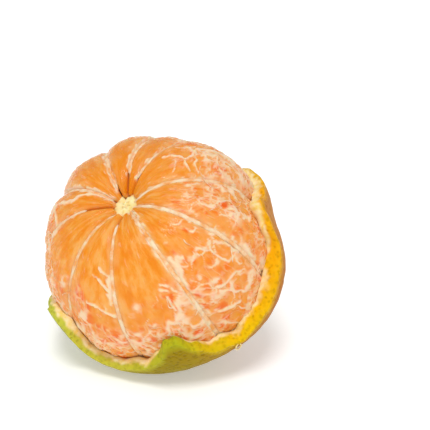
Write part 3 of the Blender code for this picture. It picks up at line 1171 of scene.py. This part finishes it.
class MANDARIN_OT_peel(Operator):
    """Build the torn cup of peel and the curl of fibre on it"""

    bl_idname = "mandarin.peel"
    bl_label = "Peel"

    def execute(self, context):
        look = context.scene.mandarin_look
        cup, sphere = ball_of_rings(PEEL_SIDES, PEEL_ROWS)
        points, marks = peel_points(sphere)
        move_points(cup.verts, points)
        finish_piece("torn_peel", cup, peel_material(look), ("peel",), marks)

        turn, drop = (np.radians(np.array([angle])) for angle in CURL_PLACE)
        foot = direction(turn, drop) * peel_skin(turn, drop, torn_edge(turn))[:, None]
        down = direction(turn, drop + math.pi / 2)
        out = direction(turn, drop)
        side = np.cross(out, down)
        winding = np.linspace(-0.3, 2 * math.pi - 1.1, CURL_POINTS)[:, None]
        line = foot + down * np.sin(winding) * CURL_RADIUS * 1.5 + side * np.cos(winding) * CURL_RADIUS
        line = line + out * (0.25 + 0.25 * np.sin(winding * 0.5))
        curl = bmesh.new()
        outward = np.repeat(out, len(line), axis=0)
        draw_out(curl, line, outward, CURL_THICKNESS, CURL_THICKNESS, CURL_SEED)
        dry = pith_material("dry_fibre", look.albedo_cream, look.pith_shade)
        finish_piece("curl_of_fibre", curl, dry)
        return {"FINISHED"}


class MANDARIN_OT_stage(Operator):
    """Set the pale floor, the soft light and the camera"""

    bl_idname = "mandarin.stage"
    bl_label = "Stage"

    def execute(self, context):
        scene = context.scene
        scene.view_settings.view_transform = "Standard"
        plane = bmesh.new()
        bmesh.ops.create_grid(plane, x_segments=1, y_segments=1, size=FLOOR_REACH)
        mesh = bpy.data.meshes.new("floor")
        plane.to_mesh(mesh)
        plane.free()
        surface, tree = new_material("studio_floor")
        shader = add_node(
            tree,
            "ShaderNodeBsdfPrincipled",
            {
                "Base Color": (FLOOR_GREY, FLOOR_GREY, FLOOR_GREY, 1),
                "Roughness": 0.9,
                "Emission Color": (1, 1, 1, 1),
                "Emission Strength": FLOOR_GLOW,
            },
        )
        add_node(tree, "ShaderNodeOutputMaterial", {"Surface": shader.outputs["BSDF"]})
        mesh.materials.append(surface)
        floor = bpy.data.objects.new("floor", mesh)
        scene.collection.objects.link(floor)

        world = bpy.data.worlds.new("studio")
        world.use_nodes = True
        sky = world.node_tree.nodes["Background"]
        sky.inputs["Color"].default_value = (1, 1, 1, 1)
        sky.inputs["Strength"].default_value = SKY_STRENGTH
        scene.world = world

        sun = bpy.data.lights.new("window", "SUN")
        sun.energy = WINDOW_STRENGTH
        sun.angle = math.radians(WINDOW_ANGLE)
        key = bpy.data.objects.new("window", sun)
        key.rotation_euler = Vector(WINDOW_HEADING).to_track_quat("-Z", "Y").to_euler()
        scene.collection.objects.link(key)

        self.set_camera(scene)
        return {"FINISHED"}

    def set_camera(self, scene):
        """Look from the front, a little from above, with the fruit where the photograph has it."""
        tilt = math.radians(CAMERA_ELEVATION)
        right = Vector((1, 0, 0))
        up = Vector((0, math.sin(tilt), math.cos(tilt)))
        toward = Vector((0, -math.cos(tilt), math.sin(tilt)))
        middle = FRAME_PIXELS / 2
        across = (CENTRE_PIXEL[0] - middle) * MM_PER_PIXEL * MM
        down = (CENTRE_PIXEL[1] - middle) * MM_PER_PIXEL * MM
        target = CENTRE - right * across + up * down
        distance = CAMERA_LENS / SENSOR_WIDTH * FRAME_PIXELS * MM_PER_PIXEL * MM
        lens = bpy.data.cameras.new("camera")
        lens.lens = CAMERA_LENS
        lens.sensor_width = SENSOR_WIDTH
        lens.clip_start = 0.01
        camera = bpy.data.objects.new("camera", lens)
        turned = Matrix((right, up, toward)).transposed().to_4x4()
        camera.matrix_world = Matrix.Translation(target + toward * distance) @ turned
        scene.collection.objects.link(camera)
        scene.camera = camera


class MANDARIN_PT_panel(Panel):
    """Lists the mandarin's pieces and its finish"""

    bl_label = "Half-Peeled Mandarin"
    bl_space_type = "VIEW_3D"
    bl_region_type = "UI"
    bl_category = "Mandarin"

    def draw(self, context):
        for operator in (MANDARIN_OT_segments, MANDARIN_OT_pith, MANDARIN_OT_peel, MANDARIN_OT_stage):
            self.layout.operator(operator.bl_idname)
        for name in MandarinLook.__annotations__:
            self.layout.prop(context.scene.mandarin_look, name)


CLASSES = (
    MandarinLook,
    MANDARIN_OT_segments,
    MANDARIN_OT_pith,
    MANDARIN_OT_peel,
    MANDARIN_OT_stage,
    MANDARIN_PT_panel,
)


def register():
    for item in CLASSES:
        bpy.utils.register_class(item)
    bpy.types.Scene.mandarin_look = PointerProperty(type=MandarinLook)


def unregister():
    del bpy.types.Scene.mandarin_look
    for item in reversed(CLASSES):
        bpy.utils.unregister_class(item)


def main():
    register()
    bpy.ops.mandarin.stage()
    bpy.ops.mandarin.peel()
    bpy.ops.mandarin.segments()
    bpy.ops.mandarin.pith()


if __name__ == "__main__":
    main()
